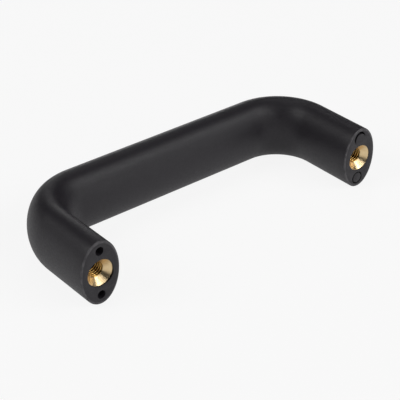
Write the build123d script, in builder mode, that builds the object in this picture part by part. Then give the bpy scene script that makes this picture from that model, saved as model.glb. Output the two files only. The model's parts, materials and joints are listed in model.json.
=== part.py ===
from build123d import *
import math
import os

# Bridge pull handle: a solid bow of oval section, moulded in one shot round two blind
# turned-brass bushes with an M6 thread.
#
# Frame: the origin is midway between the two fixing holes, on the plane of the two feet.
# X runs from hole to hole, Y from the feet towards the grip, and Z across the grip's width,
# so the handle lies on its side.

# Driving dimensions of the bow
hole_spacing = 120.0  # between the two fixing holes
overall_height = 51.0  # from the panel to the top of the grip
section_width = 24.8  # the oval's long axis, along Z
section_thickness = 15.6  # the oval's short axis, in the plane of the bow
inner_bend_radius = 11.0  # under the two corners of the bow
foot_edge_break = 0.5  # small chamfer round each foot's face

# Driving dimensions of the brass bushes
bush_diameter = 10.2  # the collar, and the crests of the knurl
bush_length = 15.0
bush_end_chamfer = 0.8
countersink_diameter = 10.0
countersink_angle = 90.0
thread_minor_diameter = 5.0  # M6 x 1, at the crests of the internal thread
thread_depth = 12.0  # from the rim of the bush to the end of the full bore
drill_point_angle = 118.0
collar_length = 3.0  # plain land behind the rim, which seals against the mould
knurl_teeth = 16  # straight teeth, about twice as coarse as such bushes have
knurl_depth = 0.5
retention_groove_width = 2.0  # filled by the moulding, so that the bush can't pull out
retention_groove_diameter = 8.4

# How far each bush's rim sits behind its foot's face
left_bush_setback = 0.4
right_bush_setback = 0.15

# Core-pin holes, above and below the left bush
core_hole_diameter = 3.2
core_hole_offset = 8.6  # from the bush's axis
core_hole_depth = 8.0

# Small hollow at the edge of the left bush, where its locating pin stood
relief_radius = 3.7
relief_offset = 1.9  # from the bush's axis
relief_direction = -34.0  # degrees from +X, seen from in front of the foot
relief_depth = 0.8

# Pin marks above and below the right bush: a plain ring and a lopsided one
mark_depth = 0.6
ring_mark_centre = (-0.3, -8.45)
ring_mark_radius = 2.5
ring_mark_line = 0.4
crescent_mark_centre = (-0.3, 8.5)
crescent_mark_radius = 2.73
crescent_pin_centre = (0.0, 8.15)
crescent_pin_radius = 2.35

# Derived places
foot_x = hole_spacing / 2
grip_y = overall_height - section_thickness / 2  # centreline of the grip
bend_radius = inner_bend_radius + section_thickness / 2  # of the centreline
bush_radius = bush_diameter / 2
bore_radius = thread_minor_diameter / 2
countersink_radius = countersink_diameter / 2
countersink_depth = (countersink_radius - bore_radius) / math.tan(
    math.radians(countersink_angle / 2)
)
drill_point_depth = bore_radius / math.tan(math.radians(drill_point_angle / 2))
knurl_end = bush_length - bush_end_chamfer
groove_start = (collar_length + knurl_end - retention_groove_width) / 2
groove_end = groove_start + retention_groove_width

# Each foot's face, seen from the panel: local X is to the right and local Y is up
left_foot = Plane(origin=(-foot_x, 0, 0), x_dir=(1, 0, 0), z_dir=(0, -1, 0))
right_foot = Plane(origin=(foot_x, 0, 0), x_dir=(1, 0, 0), z_dir=(0, -1, 0))

# The bush before drilling, with its rim at the origin and its body along +Y. The bow is
# moulded round this form.
with BuildPart() as bush_blank:
    with BuildSketch(Plane.XY):
        with BuildLine():
            Polyline(
                (0, 0),
                (bush_radius, 0),
                (bush_radius, groove_start),
                (retention_groove_diameter / 2, groove_start),
                (retention_groove_diameter / 2, groove_end),
                (bush_radius, groove_end),
                (bush_radius, knurl_end),
                (bush_radius - bush_end_chamfer, bush_length),
                (0, bush_length),
                close=True,
            )
        make_face()
    revolve(axis=Axis.Y)
    # straight knurl on both bands: V valleys from the collar to the end chamfer
    with BuildSketch(Plane.XZ.offset(-collar_length)):
        with PolarLocations(bush_radius, knurl_teeth):
            Rectangle(
                knurl_depth * math.sqrt(2), knurl_depth * math.sqrt(2), rotation=45
            )
    extrude(amount=-(knurl_end - collar_length), mode=Mode.SUBTRACT)

# The finished bush: countersunk mouth, blind bore and drill point
with BuildPart() as turned_bush:
    add(bush_blank.part)
    with BuildSketch(Plane.XY):
        with BuildLine():
            Polyline(
                (0, 0),
                (countersink_radius, 0),
                (bore_radius, countersink_depth),
                (bore_radius, thread_depth),
                (0, thread_depth + drill_point_depth),
                close=True,
            )
        make_face()
    revolve(axis=Axis.Y, mode=Mode.SUBTRACT)

# The bow: one oval section swept down a leg, round a bend, along the grip and back
with BuildPart() as handle_body:
    with BuildLine():
        FilletPolyline(
            (-foot_x, 0),
            (-foot_x, grip_y),
            (foot_x, grip_y),
            (foot_x, 0),
            radius=bend_radius,
        )
    with BuildSketch(left_foot):
        Ellipse(section_thickness / 2, section_width / 2)
    sweep()
    feet = handle_body.faces().filter_by(Axis.Y).group_by(Axis.Y)[0]
    chamfer(feet.edges(), length=foot_edge_break)

    # the bushes' seats, open as far as the feet's faces
    with Locations((-foot_x, left_bush_setback, 0), (foot_x, right_bush_setback, 0)):
        add(bush_blank.part, mode=Mode.SUBTRACT)
    with BuildSketch(left_foot, right_foot):
        Circle(bush_radius)
    extrude(amount=-left_bush_setback, mode=Mode.SUBTRACT)

    # what the mould's pins leave on the left foot
    with Locations(left_foot):
        with GridLocations(0, 2 * core_hole_offset, 1, 2):
            Hole(core_hole_diameter / 2, depth=core_hole_depth)
    with BuildSketch(left_foot):
        with Locations(Location((0, 0), relief_direction)):
            with Locations((relief_offset, 0)):
                Circle(relief_radius)
    extrude(amount=-relief_depth, mode=Mode.SUBTRACT)

    # and on the right foot
    with BuildSketch(right_foot):
        with Locations(ring_mark_centre):
            Circle(ring_mark_radius)
            Circle(ring_mark_radius - ring_mark_line, mode=Mode.SUBTRACT)
        with Locations(crescent_mark_centre):
            Circle(crescent_mark_radius)
        with Locations(crescent_pin_centre):
            Circle(crescent_pin_radius, mode=Mode.SUBTRACT)
    extrude(amount=-mark_depth, mode=Mode.SUBTRACT)

handle_body.part.label = "handle_body"

# One bush in each foot
with BuildPart() as left_bush:
    with Locations((-foot_x, left_bush_setback, 0)):
        add(turned_bush.part)
left_bush.part.label = "left_bush"

with BuildPart() as right_bush:
    with Locations((foot_x, right_bush_setback, 0)):
        add(turned_bush.part)
right_bush.part.label = "right_bush"

os.makedirs("parts", exist_ok=True)
export_step(handle_body.part, "parts/handle_body.step")
export_step(left_bush.part, "parts/left_bush.step")
export_step(right_bush.part, "parts/right_bush.step")
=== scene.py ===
"""A moulded bridge pull handle with a threaded brass bush in each foot.

The handle lies on its side on a plain pale floor. X runs from foot to foot, Y from the feet
towards the grip, and Z across the grip's width.
"""

import json
import logging
import math
from collections.abc import Callable
from dataclasses import dataclass, field
from enum import Enum

import bmesh
import bpy
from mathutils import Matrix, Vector

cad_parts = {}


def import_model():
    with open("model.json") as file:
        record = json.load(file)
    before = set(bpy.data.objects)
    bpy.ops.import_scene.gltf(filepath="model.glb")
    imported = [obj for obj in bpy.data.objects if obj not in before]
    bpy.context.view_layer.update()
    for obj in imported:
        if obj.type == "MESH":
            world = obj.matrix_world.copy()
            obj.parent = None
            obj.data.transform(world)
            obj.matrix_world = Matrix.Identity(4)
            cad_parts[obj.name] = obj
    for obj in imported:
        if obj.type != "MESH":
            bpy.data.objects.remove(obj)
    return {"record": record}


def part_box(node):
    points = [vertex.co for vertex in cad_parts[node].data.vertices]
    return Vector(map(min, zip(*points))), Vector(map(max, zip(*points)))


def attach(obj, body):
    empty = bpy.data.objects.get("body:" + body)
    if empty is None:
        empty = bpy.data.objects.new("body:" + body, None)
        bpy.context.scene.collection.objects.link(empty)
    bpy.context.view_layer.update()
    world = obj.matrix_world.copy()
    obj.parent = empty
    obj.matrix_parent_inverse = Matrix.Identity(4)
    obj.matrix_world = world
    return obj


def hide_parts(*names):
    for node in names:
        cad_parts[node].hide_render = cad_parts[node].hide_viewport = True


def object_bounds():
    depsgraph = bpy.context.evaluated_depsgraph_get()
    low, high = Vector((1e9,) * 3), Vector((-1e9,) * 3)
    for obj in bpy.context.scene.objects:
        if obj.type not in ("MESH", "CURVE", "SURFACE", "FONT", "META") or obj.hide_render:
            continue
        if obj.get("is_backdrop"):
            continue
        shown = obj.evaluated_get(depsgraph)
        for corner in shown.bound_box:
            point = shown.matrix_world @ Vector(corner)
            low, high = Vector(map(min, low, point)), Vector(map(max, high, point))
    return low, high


LOG = logging.getLogger("pull_handle")
MM = 0.001  # metres in a millimetre
Point = tuple[float, float]
Socket = bpy.types.NodeSocket


# --- Small helpers -----------------------------------------------------------------------


def linear_colour(code: str, alpha: float = 1.0) -> tuple[float, float, float, float]:
    """Turns an sRGB hex colour into Blender's linear colour.

    Args:
        code: the colour as "#RRGGBB".
        alpha: the colour's alpha.

    Returns:
        Linear red, green, blue and alpha.
    """
    channels = [int(code[i : i + 2], 16) / 255 for i in (1, 3, 5)]
    red, green, blue = (
        c / 12.92 if c <= 0.04045 else ((c + 0.055) / 1.055) ** 2.4 for c in channels
    )
    return red, green, blue, alpha


def add_node(
    tree: bpy.types.NodeTree,
    kind: str,
    settings: dict | None = None,
    inputs: dict | None = None,
) -> bpy.types.Node:
    """Adds a node with its settings and links.

    Args:
        tree: the node tree that gets the node.
        kind: the node's type, such as "ShaderNodeBump".
        settings: attributes of the node and their values.
        inputs: input names or numbers, each with a value or an output socket to link from.

    Returns:
        The new node.
    """
    node = tree.nodes.new(kind)
    for name, value in (settings or {}).items():
        setattr(node, name, value)
    for name, value in (inputs or {}).items():
        if isinstance(value, Socket):
            tree.links.new(value, node.inputs[name])
        else:
            node.inputs[name].default_value = value
    return node


def maths(tree: bpy.types.NodeTree, operation: str, *values: float | Socket) -> Socket:
    """Adds one step of arithmetic.

    Args:
        tree: the node tree that gets the node.
        operation: the step, such as "MULTIPLY".
        values: the numbers or output sockets that it works on.

    Returns:
        The result.
    """
    inputs = dict(enumerate(values))
    return add_node(tree, "ShaderNodeMath", {"operation": operation}, inputs).outputs[0]


def ramp(
    tree: bpy.types.NodeTree,
    value: Socket,
    start: float = 0.0,
    end: float = 1.0,
    least: float = 0.0,
    most: float = 1.0,
) -> Socket:
    """Maps one range of a value to another, and holds it at both ends.

    Args:
        tree: the node tree that gets the node.
        value: the value.
        start: the value that gives least.
        end: the value that gives most.
        least: the result at start.
        most: the result at end.

    Returns:
        The result.
    """
    limits = {"From Min": start, "From Max": end, "To Min": least, "To Max": most}
    node = add_node(tree, "ShaderNodeMapRange", inputs={"Value": value, **limits})
    return node.outputs["Result"]


def blend(
    tree: bpy.types.NodeTree, share: Socket, first: str | Socket, second: str | Socket
) -> Socket:
    """Mixes two colours.

    Args:
        tree: the node tree that gets the node.
        share: how much of the second colour there is, from 0 to 1.
        first: a colour as "#RRGGBB", or an output socket.
        second: the other colour.

    Returns:
        The mixed colour.
    """
    first, second = (linear_colour(c) if isinstance(c, str) else c for c in (first, second))
    inputs = {0: share, 6: first, 7: second}
    return add_node(tree, "ShaderNodeMix", {"data_type": "RGBA"}, inputs).outputs[2]


def new_material(name: str) -> tuple[bpy.types.Material, bpy.types.NodeTree]:
    """Makes an empty node material.

    Args:
        name: the material's name.

    Returns:
        The material and its node tree.
    """
    made = bpy.data.materials.new(name)
    made.use_nodes = True
    made.node_tree.nodes.clear()
    return made, made.node_tree


def add_surface(tree: bpy.types.NodeTree, surface: Socket) -> None:
    """Makes a shader the surface of its material."""
    add_node(tree, "ShaderNodeOutputMaterial", inputs={"Surface": surface})


def new_object(name: str, mesh: bmesh.types.BMesh) -> bpy.types.Object:
    """Turns a bmesh into an object with outward normals.

    Args:
        name: the object's name.
        mesh: the bmesh, which is freed.

    Returns:
        The object, linked to the scene.
    """
    bmesh.ops.recalc_face_normals(mesh, faces=mesh.faces)
    data = bpy.data.meshes.new(name)
    mesh.to_mesh(data)
    mesh.free()
    piece = bpy.data.objects.new(name, data)
    bpy.context.scene.collection.objects.link(piece)
    return piece


def settle_modifiers(piece: bpy.types.Object) -> None:
    """Replaces an object's mesh with what its modifiers make of it."""
    graph = bpy.context.evaluated_depsgraph_get()
    shaped = bpy.data.meshes.new_from_object(piece.evaluated_get(graph))
    plain = piece.data
    piece.modifiers.clear()
    piece.data = shaped
    shaped.name = plain.name + "_shaped"
    bpy.data.meshes.remove(plain)


def cut_away(piece: bpy.types.Object, cutter: bpy.types.Object) -> None:
    """Cuts one closed mesh out of another and deletes the cutter.

    Args:
        piece: the object that is cut.
        cutter: the closed mesh that is taken away.
    """
    difference = piece.modifiers.new("cut", "BOOLEAN")
    difference.operation = "DIFFERENCE"
    difference.solver = "EXACT"
    difference.object = cutter
    settle_modifiers(piece)
    tool = cutter.data
    bpy.data.objects.remove(cutter)
    bpy.data.meshes.remove(tool)


def shade(piece: bpy.types.Object, crease_degrees: float) -> None:
    """Shades a mesh smooth, with every edge sharper than the given angle left crisp."""
    piece.data.polygons.foreach_set("use_smooth", [True] * len(piece.data.polygons))
    piece.data.set_sharp_from_angle(angle=math.radians(crease_degrees))


def bridge_rings(
    mesh: bmesh.types.BMesh, rings: list[list[bmesh.types.BMVert]]
) -> None:
    """Joins each closed ring of vertices to the next with quads."""
    for near, far in zip(rings, rings[1:]):
        count = len(near)
        for i in range(count):
            j = (i + 1) % count
            mesh.faces.new((near[i], near[j], far[j], far[i]))


# --- Finishes ----------------------------------------------------------------------------


@dataclass(frozen=True)
class MouldedPolyamide:
    """Black glass-filled polyamide 6, injection moulded in a spark-eroded tool.

    The eroded steel prints a fine, even matte grain, which breaks the reflections up into
    soft broad glows. Glass fibre near the skin mottles the black a little, and the skin
    stays dark grey rather than jet black. A thin, broken pale line round the rims of the
    feet is a painted highlight where they catch the light.
    """

    slot: str = "moulded_polyamide"
    black: str = "#1E1B20"
    fibre_grey: str = "#262329"
    # a pale grey painted on the feet's rims as a highlight
    rim_highlight_grey: str = "#575558"
    ior: float = 1.46
    roughness: float = 0.5
    roughness_spread: float = 0.14
    grain: float = 0.6 * MM  # the eroded grain is about 0.1 mm, drawn coarser so that it shows
    grain_depth: float = 0.045 * MM
    highlight_setback: float = 0.45 * MM  # how far behind the feet's faces the painted rim highlight reaches
    highlight_band: Point = (0.9, 0.94)  # where it fades in, as a share of the way to the outline
    highlight_gaps: Point = (0.35, 0.6)  # the mottling between which the line breaks and is whole
    highlight_least: float = 0.35  # what is left of the line where it breaks
    mottle: float = 2.2 * MM  # how far apart fibre-rich patches lie

    def material(self, foot_x: float, foot_half: Point) -> bpy.types.Material:
        """Makes the material.

        Args:
            foot_x: how far each foot's centre is from the middle of the handle.
            foot_half: half a foot's thickness and half its width.

        Returns:
            A procedural material in the object's own coordinates.
        """
        made, tree = new_material("moulded_glass_filled_polyamide")
        place = add_node(tree, "ShaderNodeTexCoord").outputs["Object"]
        mottling = add_node(
            tree,
            "ShaderNodeTexNoise",
            inputs={"Vector": place, "Scale": 1 / self.mottle, "Detail": 3.0},
        ).outputs["Fac"]
        grain = add_node(
            tree,
            "ShaderNodeTexNoise",
            inputs={"Vector": place, "Scale": 1 / self.grain, "Detail": 2.0},
        ).outputs["Fac"]
        # the feet's rims get a painted highlight, broken up by the mottling
        painted_rim_highlight = self.painted_rim_highlights(tree, place, mottling, foot_x, foot_half)
        tint = blend(tree, mottling, self.black, self.fibre_grey)
        relief = add_node(
            tree,
            "ShaderNodeBump",
            inputs={"Height": grain, "Distance": self.grain_depth, "Strength": 1.0},
        )
        dullest = self.roughness + self.roughness_spread
        glossiest = self.roughness - self.roughness_spread
        skin = add_node(
            tree,
            "ShaderNodeBsdfPrincipled",
            inputs={
                # the pale rim line blended in here is a painted highlight
                "Base Color": blend(tree, painted_rim_highlight, tint, self.rim_highlight_grey),
                "Roughness": ramp(tree, grain, least=glossiest, most=dullest),
                "IOR": self.ior,
                "Normal": relief.outputs["Normal"],
            },
        )
        add_surface(tree, skin.outputs["BSDF"])
        return made

    def painted_rim_highlights(
        self,
        tree: bpy.types.NodeTree,
        place: Socket,
        mottling: Socket,
        foot_x: float,
        foot_half: Point,
    ) -> Socket:
        """Finds where the painted highlight lies along the rims of the feet.

        Args:
            tree: the material's node tree.
            place: the object's own coordinates.
            mottling: the noise that breaks the line up.
            foot_x: how far each foot's centre is from the middle of the handle.
            foot_half: half a foot's thickness and half its width.

        Returns:
            How much painted highlight the surface gets, from 0 to 1.
        """
        axes = add_node(tree, "ShaderNodeSeparateXYZ", inputs={"Vector": place}).outputs
        from_foot = maths(tree, "SUBTRACT", maths(tree, "ABSOLUTE", axes["X"]), foot_x)
        across = maths(tree, "DIVIDE", from_foot, foot_half[0])
        along = maths(tree, "DIVIDE", axes["Z"], foot_half[1])
        squares = [maths(tree, "POWER", part, 2.0) for part in (across, along)]
        # 1 on the foot's outline, and less inside it
        reach = maths(tree, "SQRT", maths(tree, "ADD", *squares))
        at_outline = ramp(tree, reach, *self.highlight_band)
        in_front = ramp(tree, axes["Y"], self.highlight_setback, 0.5 * self.highlight_setback)
        broken = ramp(tree, mottling, *self.highlight_gaps, self.highlight_least)
        return maths(tree, "MULTIPLY", maths(tree, "MULTIPLY", at_outline, in_front), broken)


@dataclass(frozen=True)
class TurnedBrass:
    """Free-cutting brass, turned on a lathe and left as cut.

    The tool leaves fine rings round the axis, which stretch every highlight into a bright
    wedge across the countersink. The thread is painted a deeper gold as shade deep in the
    bore, and darker painted shade in its roots draws its turns as dark lines.
    """

    slot: str = "turned_brass"
    yellow: str = "#E6D0A8"
    worn_yellow: str = "#DABD8C"
    # the thread is painted a deeper gold as shade deep in the bore
    shaded_thread_gold: str = "#D9AC62"
    # painted shade in the thread's roots
    root_shade_brown: str = "#2A1704"
    crest_radius: float = 2.56 * MM  # the thread shows its crest colour inside this radius
    root_radius: float = 2.85 * MM  # and the painted root shade outside this one
    mouth: Point = (2.1 * MM, 2.31 * MM)  # the countersink runs into the thread here
    roughness: float = 0.31
    roughness_spread: float = 0.05
    feed: float = 0.16 * MM  # one tool mark per turn of the lathe
    feed_depth: float = 0.006 * MM
    feed_waver: float = 0.4  # how unevenly the rings run
    stain: float = 1.6 * MM  # size of the darker patches

    def material(self) -> bpy.types.Material:
        """Makes the material.

        Returns:
            A procedural material with its turning rings round the object's own Y axis.
        """
        made, tree = new_material("turned_brass")
        place = add_node(tree, "ShaderNodeTexCoord").outputs["Object"]
        staining = add_node(
            tree,
            "ShaderNodeTexNoise",
            inputs={"Vector": place, "Scale": 1 / self.stain, "Detail": 2.0},
        ).outputs["Fac"]
        rings = add_node(
            tree,
            "ShaderNodeTexWave",
            {"wave_type": "RINGS", "rings_direction": "Y", "wave_profile": "SIN"},
            # the wave node draws one ring for each 2 pi / 20 of its scaled distance
            {
                "Vector": place,
                "Scale": math.tau / 20 / self.feed,
                "Distortion": self.feed_waver,
                "Detail": 1.0,
            },
        )
        relief = add_node(
            tree,
            "ShaderNodeBump",
            inputs={
                "Height": rings.outputs["Fac"],
                "Distance": self.feed_depth,
                "Strength": 1.0,
            },
        )
        dullest = self.roughness + self.roughness_spread
        glossiest = self.roughness - self.roughness_spread
        metal = add_node(
            tree,
            "ShaderNodeBsdfPrincipled",
            inputs={
                "Base Color": self.tint(tree, place, staining),
                "Metallic": 1.0,
                "Roughness": ramp(tree, staining, least=glossiest, most=dullest),
                "Normal": relief.outputs["Normal"],
            },
        )
        add_surface(tree, metal.outputs["BSDF"])
        return made

    def tint(self, tree: bpy.types.NodeTree, place: Socket, staining: Socket) -> Socket:
        """Colours the countersink, and the thread with painted shade on its crests and darker
        painted shade in its roots.

        Args:
            tree: the material's node tree.
            place: the object's own coordinates, with Y the depth behind the rim.
            staining: the noise that darkens the countersink in patches.

        Returns:
            The colour.
        """
        axes = add_node(tree, "ShaderNodeSeparateXYZ", inputs={"Vector": place}).outputs
        across = add_node(
            tree, "ShaderNodeCombineXYZ", inputs={"X": axes["X"], "Z": axes["Z"]}
        )
        radius = add_node(
            tree,
            "ShaderNodeVectorMath",
            {"operation": "LENGTH"},
            {0: across.outputs["Vector"]},
        )
        # the bore past the mouth and the thread's roots are darkened as painted shade
        in_root = ramp(tree, radius.outputs["Value"], self.crest_radius, self.root_radius)
        in_thread = ramp(tree, axes["Y"], *self.mouth)
        countersink = blend(tree, staining, self.yellow, self.worn_yellow)
        thread = blend(tree, in_root, self.shaded_thread_gold, self.root_shade_brown)
        return blend(tree, in_thread, countersink, thread)


# --- The handle --------------------------------------------------------------------------


class Side(Enum):
    """Which foot, by its sign along X."""

    LEFT = -1
    RIGHT = 1

    @property
    def node(self) -> str:
        """The CAD node of this foot's bush."""
        return f"{self.name.lower()}_bush"


@dataclass
class Recess:
    """A round recess in a foot's face, seen from the panel.

    Fields:
        centre: its axis, to the right of and above the foot's centre.
        radius: its radius.
        depth: how far it goes in from the foot's face.
        pin_centre: the axis of the flush disc left standing in it, if there is one.
        pin_radius: that disc's radius, or 0 for none.
    """

    centre: Point
    radius: float
    depth: float
    pin_centre: Point = (0.0, 0.0)
    pin_radius: float = 0.0


@dataclass(frozen=True)
class FootMarks:
    """What the mould leaves in the feet's faces, with places seen from the panel.

    Fields:
        seat_depth: of the bushes' seats.
        core_offset: from a foot's centre to each core-pin hole of the left foot.
        core_radius: of those holes.
        core_depth: of those holes.
        hollow_offset: from the left foot's centre to the hollow beside its bush.
        hollow_degrees: the hollow's direction, anticlockwise from the right.
        hollow_radius: of the hollow.
        hollow_depth: of the hollow.
        ring_centre: of the ring mark on the right foot.
        ring_radius: of the ring's outer edge.
        ring_line: how wide the ring's line is.
        ring_depth: of the ring.
        crescent_centre: of the crescent mark's outer edge, on the right foot.
        crescent_radius: of that edge.
        crescent_depth: of the crescent.
        crescent_pin_centre: of the disc that makes the mark a crescent.
        crescent_pin_radius: of that disc.
    """

    seat_depth: float = 15.4 * MM
    core_offset: float = 8.6 * MM
    core_radius: float = 1.6 * MM
    core_depth: float = 8.0 * MM
    hollow_offset: float = 1.9 * MM
    hollow_degrees: float = -34.0
    hollow_radius: float = 3.7 * MM
    hollow_depth: float = 1.2 * MM
    ring_centre: Point = (-0.45 * MM, -8.5 * MM)
    ring_radius: float = 2.48 * MM
    ring_line: float = 0.48 * MM
    ring_depth: float = 1.0 * MM
    crescent_centre: Point = (-0.35 * MM, 8.5 * MM)
    crescent_radius: float = 2.7 * MM
    crescent_depth: float = 1.8 * MM
    crescent_pin_centre: Point = (0.0, 7.75 * MM)
    crescent_pin_radius: float = 2.4 * MM

    def recesses(self, bush_radius: float) -> dict[Side, list[Recess]]:
        """Lists what is let into each foot's face.

        Args:
            bush_radius: the radius of the brass bushes' seats.

        Returns:
            The recesses of each foot, the bush's seat first.
        """
        seat = Recess((0.0, 0.0), bush_radius, self.seat_depth)
        core_pins = [
            Recess((0.0, sign * self.core_offset), self.core_radius, self.core_depth)
            for sign in (1, -1)
        ]
        lean = math.radians(self.hollow_degrees)
        hollow = Recess(
            (self.hollow_offset * math.cos(lean), self.hollow_offset * math.sin(lean)),
            self.hollow_radius,
            self.hollow_depth,
        )
        ring = Recess(
            self.ring_centre,
            self.ring_radius,
            self.ring_depth,
            self.ring_centre,
            self.ring_radius - self.ring_line,
        )
        crescent = Recess(
            self.crescent_centre,
            self.crescent_radius,
            self.crescent_depth,
            self.crescent_pin_centre,
            self.crescent_pin_radius,
        )
        return {Side.LEFT: [seat, *core_pins, hollow], Side.RIGHT: [seat, ring, crescent]}


@dataclass
class Bow:
    """The one-piece moulded bow: an oval section swept over two legs, two bends and a grip.

    Fields:
        spacing: from one fixing hole to the other.
        height: from the panel to the top of the grip.
        width: the oval's long axis, along Z.
        thickness: the oval's short axis.
        recesses: what is let into each foot's face.
    """

    spacing: float
    height: float
    width: float
    thickness: float
    recesses: dict[Side, list[Recess]]
    inner_bend: float = 11.0 * MM
    rim_radius: float = 0.5 * MM
    lip_radius: float = 0.09 * MM  # how far the edges of the recesses are rounded
    lip_segments: int = 2
    lip_degrees: float = 50.0  # edges sharper than this are rounded
    cutter_clearance: float = 1.0 * MM  # how far the recesses' cutters overshoot
    around: int = 112
    around_recess: int = 96
    per_bend: int = 36
    per_rim: int = 6
    per_leg: int = 6
    per_half_grip: int = 10
    crease_degrees: float = 34.0

    def half_route(self) -> list[tuple[Vector, Vector, float]]:
        """Follows the centreline from the left foot's face to the middle of the grip.

        Returns:
            For each station its centre, the unit vector that points out of the bow, and
            how far the section is drawn in there.
        """
        foot_x = self.spacing / 2
        bend = self.inner_bend + self.thickness / 2
        grip_y = self.height - self.thickness / 2
        bend_centre = Vector((bend - foot_x, grip_y - bend, 0))
        route = []
        for i in range(self.per_rim + 1):
            turn = math.pi / 2 * i / self.per_rim
            y = self.rim_radius * (1 - math.cos(turn))
            inset = self.rim_radius * (1 - math.sin(turn))
            route.append((Vector((-foot_x, y, 0)), Vector((-1, 0, 0)), inset))
        for i in range(1, self.per_leg):
            share = i / self.per_leg
            y = self.rim_radius + share * (bend_centre.y - self.rim_radius)
            route.append((Vector((-foot_x, y, 0)), Vector((-1, 0, 0)), 0.0))
        for i in range(self.per_bend + 1):
            turn = math.pi / 2 * i / self.per_bend
            outward = Vector((-math.cos(turn), math.sin(turn), 0))
            route.append((bend_centre + bend * outward, outward, 0.0))
        for i in range(1, self.per_half_grip + 1):
            x = bend_centre.x * (1 - i / self.per_half_grip)
            route.append((Vector((x, grip_y, 0)), Vector((0, 1, 0)), 0.0))
        return route

    def section(self, centre: Vector, outward: Vector, inset: float) -> list[Vector]:
        """Draws the oval at one station.

        Args:
            centre: the section's centre.
            outward: the unit vector that points out of the bow.
            inset: how far the outline is drawn in along its own normal.

        Returns:
            The outline's points.
        """
        half_thick, half_wide = self.thickness / 2, self.width / 2
        up = Vector((0, 0, 1))
        points = []
        for i in range(self.around):
            turn = math.tau * i / self.around
            across, along = math.cos(turn), math.sin(turn)
            normal = Vector((across / half_thick, along / half_wide)).normalized()
            points.append(
                centre
                + outward * (half_thick * across - inset * normal.x)
                + up * (half_wide * along - inset * normal.y)
            )
        return points

    def cutter(
        self, side: Side, centre: Point, radius: float, depth: float, above: float
    ) -> bpy.types.Object:
        """Makes a round cutter that reaches from just in front of a foot into it.

        Args:
            side: the foot.
            centre: the cutter's axis, to the right of and above the foot's centre.
            radius: its radius.
            depth: how far it goes in behind the foot's face.
            above: how far it stands out in front of the face.

        Returns:
            The cutter.
        """
        middle = Vector((side.value * self.spacing / 2 + centre[0], 0, centre[1]))
        mesh = bmesh.new()
        rings = []
        for y in (-above, depth):
            ring = []
            for i in range(self.around_recess):
                turn = math.tau * i / self.around_recess
                ring.append(
                    mesh.verts.new(
                        middle
                        + Vector((radius * math.cos(turn), y, radius * math.sin(turn)))
                    )
                )
            rings.append(ring)
        bridge_rings(mesh, rings)
        for ring in rings:
            mesh.faces.new(ring)
        return new_object("cutter", mesh)

    def build(self) -> bpy.types.Object:
        """Builds the bow's mesh.

        Returns:
            The bow.
        """
        half = self.half_route()
        mirrored = [
            (Vector((-c.x, c.y, c.z)), Vector((-o.x, o.y, o.z)), inset)
            for c, o, inset in half[-2::-1]
        ]
        mesh = bmesh.new()
        rings = [
            [mesh.verts.new(point) for point in self.section(*station)]
            for station in half + mirrored
        ]
        bridge_rings(mesh, rings)
        mesh.faces.new(rings[0])
        mesh.faces.new(rings[-1])
        bow = new_object("bow", mesh)
        for side, recesses in self.recesses.items():
            for recess in recesses:
                clear = self.cutter_clearance
                cutter = self.cutter(
                    side, recess.centre, recess.radius, recess.depth, clear
                )
                if recess.pin_radius:
                    pin = self.cutter(
                        side,
                        recess.pin_centre,
                        recess.pin_radius,
                        recess.depth + clear,
                        2 * clear,
                    )
                    cut_away(cutter, pin)
                cut_away(bow, cutter)
        self.soften(bow)
        shade(bow, self.crease_degrees)
        return bow

    def soften(self, bow: bpy.types.Object) -> None:
        """Rounds the edges of the recesses a little, as moulded edges are."""
        lips = bow.modifiers.new("lips", "BEVEL")
        lips.width = self.lip_radius
        lips.segments = self.lip_segments
        lips.limit_method = "ANGLE"
        lips.angle_limit = math.radians(self.lip_degrees)
        lips.use_clamp_overlap = True
        settle_modifiers(bow)

    def dress(self, bow: bpy.types.Object, finish: MouldedPolyamide) -> None:
        """Gives the bow its finish and its place on the frame."""
        bow.data.materials.clear()
        half = (self.thickness / 2, self.width / 2)
        bow.data.materials.append(finish.material(self.spacing / 2, half))
        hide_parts("handle_body")
        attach(bow, "root")


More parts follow.
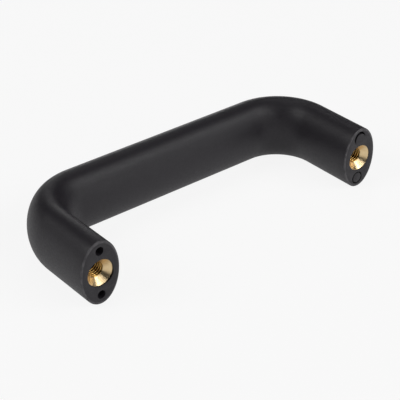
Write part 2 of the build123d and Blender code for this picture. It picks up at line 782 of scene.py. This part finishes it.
@dataclass
class ThreadedBush:
    """A blind brass bush: countersunk mouth, metric thread, knurled outside with a groove.

    Fields:
        side: the foot that it is moulded into.
        axis_x: its axis.
        rim_y: where its rim lies behind the foot's face.
        radius: of its collar.
        length: from the rim to the closed end.
        bore_radius: at the crests of the thread.
    """

    side: Side
    axis_x: float
    rim_y: float
    radius: float
    length: float
    bore_radius: float
    countersink_radius: float = 5.0 * MM
    rim_break: float = 0.05 * MM
    thread_pitch: float = 1.0 * MM
    thread_depth: float = 12.0 * MM
    thread_runout: float = 1.5 * MM
    drill_point_degrees: float = 118.0
    collar: float = 3.0 * MM
    end_chamfer: float = 0.8 * MM
    groove_width: float = 2.0 * MM
    groove_radius: float = 4.2 * MM
    knurl_teeth: int = 32
    knurl_depth: float = 0.4 * MM
    around: int = 192
    per_pitch: int = 14
    crease_degrees: float = 32.0

    def thread_rise(self, y: float, turn: float) -> float:
        """How far the thread is cut into the bore's wall at one point.

        Args:
            y: depth behind the rim.
            turn: angle round the axis, in radians.

        Returns:
            The cut's depth, from 0 on a crest to the full depth in a root.
        """
        # a 60 degree thread: the crest takes a quarter of the pitch and the root an eighth
        full_depth = 0.5413 * self.thread_pitch
        phase = (y / self.thread_pitch + turn / math.tau) % 1.0
        crest, flank = 0.25, 0.3125
        if phase < crest:
            rise = 0.0
        elif phase < crest + flank:
            rise = (phase - crest) / flank
        elif phase < 1.0 - flank:
            rise = 1.0
        else:
            rise = (1.0 - phase) / flank
        fade = (self.thread_depth - y) / self.thread_runout
        return full_depth * rise * max(0.0, min(1.0, fade))

    def inside(self, y: float, turn: float) -> float:
        """The radius of the mouth and the threaded bore at one point.

        Args:
            y: depth behind the rim.
            turn: angle round the axis, in radians.

        Returns:
            The radius there.
        """
        cone = self.countersink_radius - y
        return max(cone, self.bore_radius + self.thread_rise(y, turn))

    def outside(self, y: float, turn: float) -> float:
        """The radius of the knurled, grooved outside at one point.

        Args:
            y: depth behind the rim.
            turn: angle round the axis, in radians.

        Returns:
            The radius there.
        """
        knurl_end = self.length - self.end_chamfer
        groove_start = (self.collar + knurl_end - self.groove_width) / 2
        if y < self.collar:
            return self.radius
        if groove_start <= y < groove_start + self.groove_width:
            return self.groove_radius
        if y > knurl_end:
            return self.radius - self.knurl_depth - (y - knurl_end)
        tooth = math.tau / self.knurl_teeth
        from_valley = abs((turn + tooth / 2) % tooth - tooth / 2) * self.radius
        return self.radius - max(0.0, self.knurl_depth - from_valley)

    def stations(self) -> list[tuple[float, Callable[[float, float], float]]]:
        """Lists the rings from the end of the bore, out at the mouth and back outside.

        Returns:
            For each ring its depth behind the rim and the function that gives its radius.
        """
        step = self.thread_pitch / self.per_pitch
        count = round(self.thread_depth / step)
        inner = [(i * step, self.inside) for i in range(count, 0, -1)]
        inner.append((0.0, self.inside))
        lip = self.rim_break
        shoulder = 0.3 * lip  # the rim's edge turns over in two steps
        rim = [
            (0.0, lambda y, turn: self.radius - lip),
            (shoulder, lambda y, turn: self.radius - shoulder),
            (lip, self.outside),
        ]
        knurl_end = self.length - self.end_chamfer
        groove_start = (self.collar + knurl_end - self.groove_width) / 2
        groove_end = groove_start + self.groove_width
        hair = 0.01 * MM  # a step this short reads as a square shoulder
        outer = [
            (y, self.outside)
            for y in (
                self.collar - hair,
                self.collar,
                groove_start - hair,
                groove_start,
                groove_end - hair,
                groove_end,
                knurl_end,
                knurl_end + hair,
                self.length,
            )
        ]
        return inner + rim + outer

    def build(self) -> bpy.types.Object:
        """Builds the bush's mesh round its own axis, with the rim at the origin.

        Returns:
            The bush, standing in its foot.
        """
        mesh = bmesh.new()
        rings = []
        for y, radius_at in self.stations():
            ring = []
            for i in range(self.around):
                turn = math.tau * i / self.around
                radius = radius_at(y, turn)
                ring.append(
                    mesh.verts.new(
                        (radius * math.cos(turn), y, radius * math.sin(turn))
                    )
                )
            rings.append(ring)
        bridge_rings(mesh, rings)
        point = self.bore_radius / math.tan(math.radians(self.drill_point_degrees / 2))
        tip = mesh.verts.new((0, self.thread_depth + point, 0))
        end = mesh.verts.new((0, self.length, 0))
        for i in range(self.around):
            j = (i + 1) % self.around
            mesh.faces.new((rings[0][i], rings[0][j], tip))
            mesh.faces.new((rings[-1][i], rings[-1][j], end))
        bush = new_object(f"{self.side.name.lower()}_threaded_bush", mesh)
        bush.location = (self.axis_x, self.rim_y, 0)
        shade(bush, self.crease_degrees)
        return bush

    def dress(self, bush: bpy.types.Object, finish: TurnedBrass) -> None:
        """Gives the bush its finish and its place on the frame."""
        bush.data.materials.append(finish.material())
        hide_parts(self.side.node)
        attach(bush, "root")


@dataclass
class PullHandle:
    """The whole handle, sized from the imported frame."""

    record: dict
    polyamide: MouldedPolyamide = field(default_factory=MouldedPolyamide)
    brass: TurnedBrass = field(default_factory=TurnedBrass)
    marks: FootMarks = field(default_factory=FootMarks)

    def mount(self, name: str) -> dict:
        """Finds one of the record's mounts by name."""
        return next(m for m in self.record["mounts"] if m["name"] == name)

    def build(self) -> list[bpy.types.Object]:
        """Builds and dresses every piece.

        Returns:
            The pieces.
        """
        fixing = self.mount("fixing_holes")["dims"]
        spacing = fixing["spacing_x_mm"] * MM
        low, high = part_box("handle_body")
        bushes = []
        for side in Side:
            bush_low, bush_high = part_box(side.node)
            bushes.append(
                ThreadedBush(
                    side,
                    axis_x=side.value * spacing / 2,
                    rim_y=bush_low.y,
                    radius=(bush_high.x - bush_low.x) / 2,
                    length=bush_high.y - bush_low.y,
                    bore_radius=fixing["hole_r_mm"] * MM,
                )
            )
        bow = Bow(
            spacing=spacing,
            height=high.y,
            width=high.z - low.z,
            thickness=high.x - low.x - spacing,
            recesses=self.marks.recesses(bushes[0].radius),
        )
        pieces = [bow.build()]
        bow.dress(pieces[0], self.polyamide)
        for bush in bushes:
            pieces.append(bush.build())
            bush.dress(pieces[-1], self.brass)
        return pieces


# --- The studio --------------------------------------------------------------------------


@dataclass(frozen=True)
class SoftBox:
    """A large soft lamp that points at the handle.

    Fields:
        name: the lamp's name.
        azimuth: the side that it stands on, in degrees: 0 is in front (-Y), 90 is the
            right (+X) and 180 is behind.
        elevation: its height above the horizon, in degrees.
        width: of its face, level with the horizon, in metres.
        height: of its face, in metres.
        radiance: how bright its face is, where 1 is white.
    """

    name: str
    azimuth: float
    elevation: float
    width: float
    height: float
    radiance: float


@dataclass
class Studio:
    """A pale flat floor, soft lamps and a surround with a white horizon."""

    floor_z: float
    centre: Vector
    distance: float = 1.2
    horizon_degrees: float = 1.0  # the surround is white up to this elevation
    dark_degrees: float = 8.0  # and at its darkest from here to the zenith
    overhead: float = 0.0  # how bright that is, where 1 is white
    reach: float = 6.0  # of the floor, to each side of the origin
    paper: str = "#F2F2F2"
    paper_glow: float = 0.88  # the share of plain white that the floor shows
    reflected_glow: float = 0.6  # and the share that its reflections show
    lamps: tuple[SoftBox, ...] = (
        SoftBox("front_bank", 18, 38, 1.3, 0.36, 3.3),
        SoftBox("front_right", 44, 38, 0.6, 0.4, 2.2),
        SoftBox("front_low", 30, 8, 0.6, 0.3, 2.1),
        SoftBox("left_back", 249, 39, 0.62, 0.5, 4.8),
        SoftBox("back_right", 149, 11, 0.5, 0.4, 1.9),
        SoftBox("overhead_right", 137, 56, 0.4, 0.35, 1.6),
        SoftBox("overhead_back", 170, 75, 0.5, 0.5, 1.1),
    )

    def paper_material(self) -> bpy.types.Material:
        """Makes the floor's matte paper, which the camera sees as white but for shadows.

        Returns:
            The material.
        """
        made, tree = new_material("pale_paper")
        matte = add_node(
            tree,
            "ShaderNodeBsdfDiffuse",
            inputs={"Color": linear_colour(self.paper)},
        )
        glow = add_node(tree, "ShaderNodeEmission", inputs={"Strength": 1.0})
        rays = add_node(tree, "ShaderNodeLightPath")
        share = 0.0
        for kind, glowing in (
            ("Is Camera Ray", self.paper_glow),
            ("Is Glossy Ray", self.reflected_glow),
            ("Is Transmission Ray", self.reflected_glow),
        ):
            seen = maths(tree, "MULTIPLY", rays.outputs[kind], glowing)
            share = maths(tree, "MAXIMUM", share, seen)
        mixed = add_node(
            tree,
            "ShaderNodeMixShader",
            inputs={
                0: share,
                1: matte.outputs["BSDF"],
                2: glow.outputs["Emission"],
            },
        )
        add_surface(tree, mixed.outputs["Shader"])
        return made

    def build_floor(self) -> bpy.types.Object:
        """Builds the floor.

        Returns:
            The floor.
        """
        mesh = bmesh.new()
        corners = [
            mesh.verts.new((x * self.reach, y * self.reach, self.floor_z))
            for x, y in ((-1, -1), (1, -1), (1, 1), (-1, 1))
        ]
        mesh.faces.new(corners)
        floor = new_object("floor", mesh)
        floor.data.materials.append(self.paper_material())
        floor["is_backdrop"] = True
        return floor

    def build_world(self) -> None:
        """Surrounds the floor with a white horizon that darkens towards the zenith."""
        world = bpy.data.worlds.new("white_horizon")
        bpy.context.scene.world = world
        world.use_nodes = True
        tree = world.node_tree
        tree.nodes.clear()
        direction = add_node(tree, "ShaderNodeTexCoord").outputs["Generated"]
        height = add_node(tree, "ShaderNodeSeparateXYZ", inputs={"Vector": direction})
        fade = add_node(
            tree,
            "ShaderNodeMapRange",
            {"interpolation_type": "SMOOTHSTEP"},
            {
                "Value": height.outputs["Z"],
                "From Min": math.sin(math.radians(self.horizon_degrees)),
                "From Max": math.sin(math.radians(self.dark_degrees)),
                "To Min": 1.0,
                "To Max": self.overhead,
            },
        )
        glow = add_node(
            tree, "ShaderNodeBackground", inputs={"Strength": fade.outputs["Result"]}
        )
        add_node(
            tree,
            "ShaderNodeOutputWorld",
            inputs={"Surface": glow.outputs["Background"]},
        )

    def build_lamp(self, box: SoftBox) -> bpy.types.Object:
        """Builds one lamp.

        Args:
            box: the lamp's place, size and brightness.

        Returns:
            The lamp.
        """
        azimuth, elevation = math.radians(box.azimuth), math.radians(box.elevation)
        towards = Vector(
            (
                math.sin(azimuth) * math.cos(elevation),
                -math.cos(azimuth) * math.cos(elevation),
                math.sin(elevation),
            )
        )
        data = bpy.data.lights.new(box.name, "AREA")
        data.shape = "RECTANGLE"
        data.size = box.width
        data.size_y = box.height
        # a face of radiance L gives out pi * L * area watts, and Blender's lamps are
        # stated in watts
        data.energy = box.radiance * math.pi * box.width * box.height
        lamp = bpy.data.objects.new(box.name, data)
        lamp.location = self.centre + self.distance * towards
        lamp.rotation_mode = "QUATERNION"
        lamp.rotation_quaternion = (-towards).to_track_quat("-Z", "Y")
        bpy.context.scene.collection.objects.link(lamp)
        return lamp

    def build(self) -> None:
        """Builds the floor, the surround and the lamps."""
        self.build_floor()
        self.build_world()
        for box in self.lamps:
            self.build_lamp(box)


@dataclass(frozen=True)
class Viewpoint:
    """The camera: where it stands and what it looks at.

    Fields:
        azimuth: 0 looks along +Y, and a negative one stands to the left of the handle.
        elevation: above the horizon, in degrees.
        distance: from the point that it looks at.
        target: that point.
        lens: focal length in millimetres.
        shift: how far the view slides right and up, as a share of its width.
        sensor: how wide the film is, in millimetres.
        clip: the nearest and the farthest that it sees.
    """

    azimuth: float = -39.37
    elevation: float = 31.70
    distance: float = 0.4775
    target: tuple[float, float, float] = (0.00607, 0.02888, -0.0118)
    lens: float = 114.5
    shift: Point = (-0.0014, 0.0019)
    sensor: float = 36.0
    clip: Point = (0.01, 50.0)

    def build(self) -> bpy.types.Object:
        """Builds the camera.

        Returns:
            The camera.
        """
        azimuth, elevation = math.radians(self.azimuth), math.radians(self.elevation)
        back = Vector(
            (
                math.sin(azimuth) * math.cos(elevation),
                -math.cos(azimuth) * math.cos(elevation),
                math.sin(elevation),
            )
        )
        data = bpy.data.cameras.new("camera")
        data.sensor_width = self.sensor
        data.lens = self.lens
        data.shift_x, data.shift_y = self.shift
        data.clip_start, data.clip_end = self.clip
        camera = bpy.data.objects.new("camera", data)
        camera.location = Vector(self.target) + self.distance * back
        camera.rotation_mode = "QUATERNION"
        camera.rotation_quaternion = (-back).to_track_quat("-Z", "Y")
        bpy.context.scene.collection.objects.link(camera)
        bpy.context.scene.camera = camera
        return camera


def report(pieces: list[bpy.types.Object]) -> None:
    """Logs each piece's name, faces and material."""
    for piece in pieces:
        LOG.info(
            "%s: %d faces, %s",
            piece.name,
            len(piece.data.polygons),
            piece.data.materials[0].name,
        )


def main() -> None:
    """Builds the handle, then the studio round it."""
    logging.basicConfig(level=logging.INFO, format="%(name)s: %(message)s")
    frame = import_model()
    cad_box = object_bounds()
    handle = PullHandle(frame["record"])
    report(handle.build())
    low, high = cad_box
    Studio(floor_z=low.z, centre=(low + high) / 2).build()
    Viewpoint().build()
    bpy.context.scene.view_settings.view_transform = "Standard"


if __name__ == "__main__":
    main()
